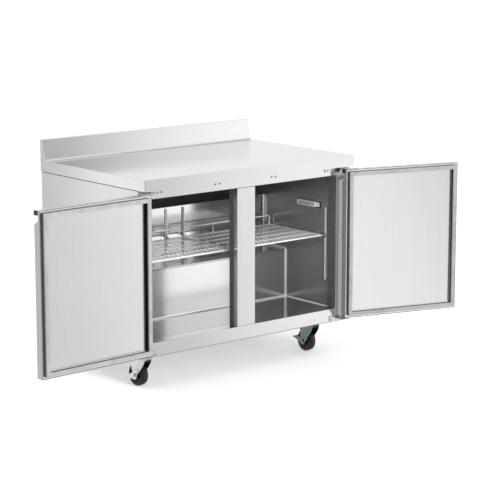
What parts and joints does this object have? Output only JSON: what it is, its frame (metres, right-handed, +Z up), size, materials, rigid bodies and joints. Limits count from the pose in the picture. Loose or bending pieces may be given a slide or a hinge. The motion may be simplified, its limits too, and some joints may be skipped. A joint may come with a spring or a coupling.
{
  "type": "undercounter refrigerator",
  "caption": "Stainless undercounter refrigerator with a worktop and backsplash, swing doors on bracket hinges, wire shelves and swivel casters.",
  "frame": {"origin": "on the floor, at the middle of the object's box with both doors open as shown", "axes": "+Z up, +X to the right along the front, -Y towards the person at the doors"},
  "size_m": [2.2988, 0.9622, 1.046],
  "materials": {
    "stainless_brushed": "fine horizontal brushed grain, satin",
    "stainless_liner": "smooth satin, nearly mirror-like inside",
    "galvanised_steel": "dull zinc spangle",
    "door_gasket": "soft matte vinyl",
    "black_plastic": "fine moulded texture",
    "zinc_plate": "bright zinc plating with soft reflections",
    "caster_tyre": "semi-gloss black polyurethane",
    "shelf_wire": "smooth epoxy coating over wire",
    "grey_plastic": "smooth satin",
    "coil_fins": "thin bright fins",
    "black_enamel": "glossy black paint"
  },
  "bodies": {
    "cabinet": {"worktop": "stainless_brushed", "left_side_panel": "stainless_brushed", "right_side_panel": "stainless_brushed", "left_post": "stainless_brushed", "right_post": "stainless_brushed", "top_rail": "stainless_brushed", "bottom_rail": "stainless_brushed", "mullion": "stainless_brushed", "liner_left_wall": "stainless_liner", "liner_right_wall": "stainless_liner", "liner_ceiling": "stainless_liner", "liner_back_wall": "stainless_liner", "liner_floor": "stainless_liner", "compressor_step": "stainless_liner", "evaporator_cover": "stainless_liner", "base_pan": "galvanised_steel", "back_panel": "galvanised_steel", "rear_grille": "galvanised_steel", "drain_pan": "black_plastic", "cord_gland": "black_plastic", "left_top_hinge": "zinc_plate", "left_bottom_hinge": "zinc_plate", "right_top_hinge": "zinc_plate", "right_bottom_hinge": "zinc_plate", "front_left_caster_plate": "zinc_plate", "front_right_caster_plate": "zinc_plate", "rear_left_caster_plate": "zinc_plate", "rear_right_caster_plate": "zinc_plate", "right_front_pilaster": "zinc_plate", "right_rear_pilaster": "zinc_plate", "centre_left_pilaster": "zinc_plate", "centre_right_pilaster": "zinc_plate", "left_shelf": "shelf_wire", "right_shelf": "shelf_wire", "thermometer": "grey_plastic", "evaporator_coil": "coil_fins", "condenser_coil": "coil_fins", "compressor": "black_enamel"},
    "left_door": {"left_door_skin": "stainless_brushed", "left_door_liner": "stainless_liner", "left_door_gasket": "door_gasket", "left_door_hinge_grip_cap": "black_plastic", "left_door_free_grip_cap": "black_plastic"},
    "right_door": {"right_door_skin": "stainless_brushed", "right_door_liner": "stainless_liner", "right_door_gasket": "door_gasket", "right_door_hinge_grip_cap": "black_plastic", "right_door_free_grip_cap": "black_plastic"},
    "evaporator_rotor": {"evaporator_fan": "black_plastic"},
    "condenser_rotor": {"condenser_fan": "black_plastic"},
    "front_left_swivel": {"front_left_caster_fork": "zinc_plate"},
    "front_left_wheel": {"front_left_caster_wheel": "caster_tyre"},
    "front_right_swivel": {"front_right_caster_fork": "zinc_plate"},
    "front_right_wheel": {"front_right_caster_wheel": "caster_tyre"},
    "rear_left_swivel": {"rear_left_caster_fork": "zinc_plate"},
    "rear_left_wheel": {"rear_left_caster_wheel": "caster_tyre"},
    "rear_right_swivel": {"rear_right_caster_fork": "zinc_plate"},
    "rear_right_wheel": {"rear_right_caster_wheel": "caster_tyre"},
    "front_left_brake": {"front_left_caster_brake": "zinc_plate"},
    "front_right_brake": {"front_right_caster_brake": "zinc_plate"}
  },
  "joints": [
    {"name": "left_door_hinge", "type": "hinge", "parent": "cabinet", "child": "left_door", "pos_m": [-0.57069, -0.28791, 0.53], "axis": [0, 0, 1], "range_deg": [-3, 177]},
    {"name": "right_door_hinge", "type": "hinge", "parent": "cabinet", "child": "right_door", "pos_m": [0.58931, -0.28791, 0.53], "axis": [0, 0, 1], "range_deg": [-163.5, 16.5]},
    {"name": "evaporator_fan_spin", "type": "hinge", "parent": "cabinet", "child": "evaporator_rotor", "pos_m": [0.00931, 0.30309, 0.582], "axis": [0, 1, 0], "continuous": true},
    {"name": "condenser_fan_spin", "type": "hinge", "parent": "cabinet", "child": "condenser_rotor", "pos_m": [0.30931, 0.34609, 0.2765], "axis": [0, 1, 0], "continuous": true},
    {"name": "front_left_swivel_turn", "type": "hinge", "parent": "cabinet", "child": "front_left_swivel", "pos_m": [-0.48669, -0.14641, 0.14], "axis": [0, 0, 1], "continuous": true},
    {"name": "front_left_wheel_roll", "type": "hinge", "parent": "front_left_swivel", "child": "front_left_wheel", "pos_m": [-0.48948, -0.10651, 0.051], "axis": [-0.9976, -0.0698, 0], "continuous": true},
    {"name": "front_left_brake_press", "type": "hinge", "parent": "front_left_swivel", "child": "front_left_brake", "pos_m": [-0.48948, -0.10651, 0.051], "axis": [-0.9976, -0.0698, 0], "range_deg": [-27, 0]},
    {"name": "front_right_swivel_turn", "type": "hinge", "parent": "cabinet", "child": "front_right_swivel", "pos_m": [0.50531, -0.14641, 0.14], "axis": [0, 0, 1], "continuous": true},
    {"name": "front_right_wheel_roll", "type": "hinge", "parent": "front_right_swivel", "child": "front_right_wheel", "pos_m": [0.50601, -0.10642, 0.051], "axis": [-0.9998, 0.0175, 0], "continuous": true},
    {"name": "front_right_brake_press", "type": "hinge", "parent": "front_right_swivel", "child": "front_right_brake", "pos_m": [0.50601, -0.10642, 0.051], "axis": [-0.9998, 0.0175, 0], "range_deg": [0, 27]},
    {"name": "rear_left_swivel_turn", "type": "hinge", "parent": "cabinet", "child": "rear_left_swivel", "pos_m": [-0.48669, 0.34109, 0.14], "axis": [0, 0, 1], "continuous": true},
    {"name": "rear_left_wheel_roll", "type": "hinge", "parent": "rear_left_swivel", "child": "rear_left_wheel", "pos_m": [-0.48251, 0.38087, 0.051], "axis": [-0.9945, 0.1045, 0], "continuous": true},
    {"name": "rear_right_swivel_turn", "type": "hinge", "parent": "cabinet", "child": "rear_right_swivel", "pos_m": [0.50531, 0.34109, 0.14], "axis": [0, 0, 1], "continuous": true},
    {"name": "rear_right_wheel_roll", "type": "hinge", "parent": "rear_right_swivel", "child": "rear_right_wheel", "pos_m": [0.50044, 0.38079, 0.051], "axis": [-0.9925, -0.1219, 0], "continuous": true}
  ]
}
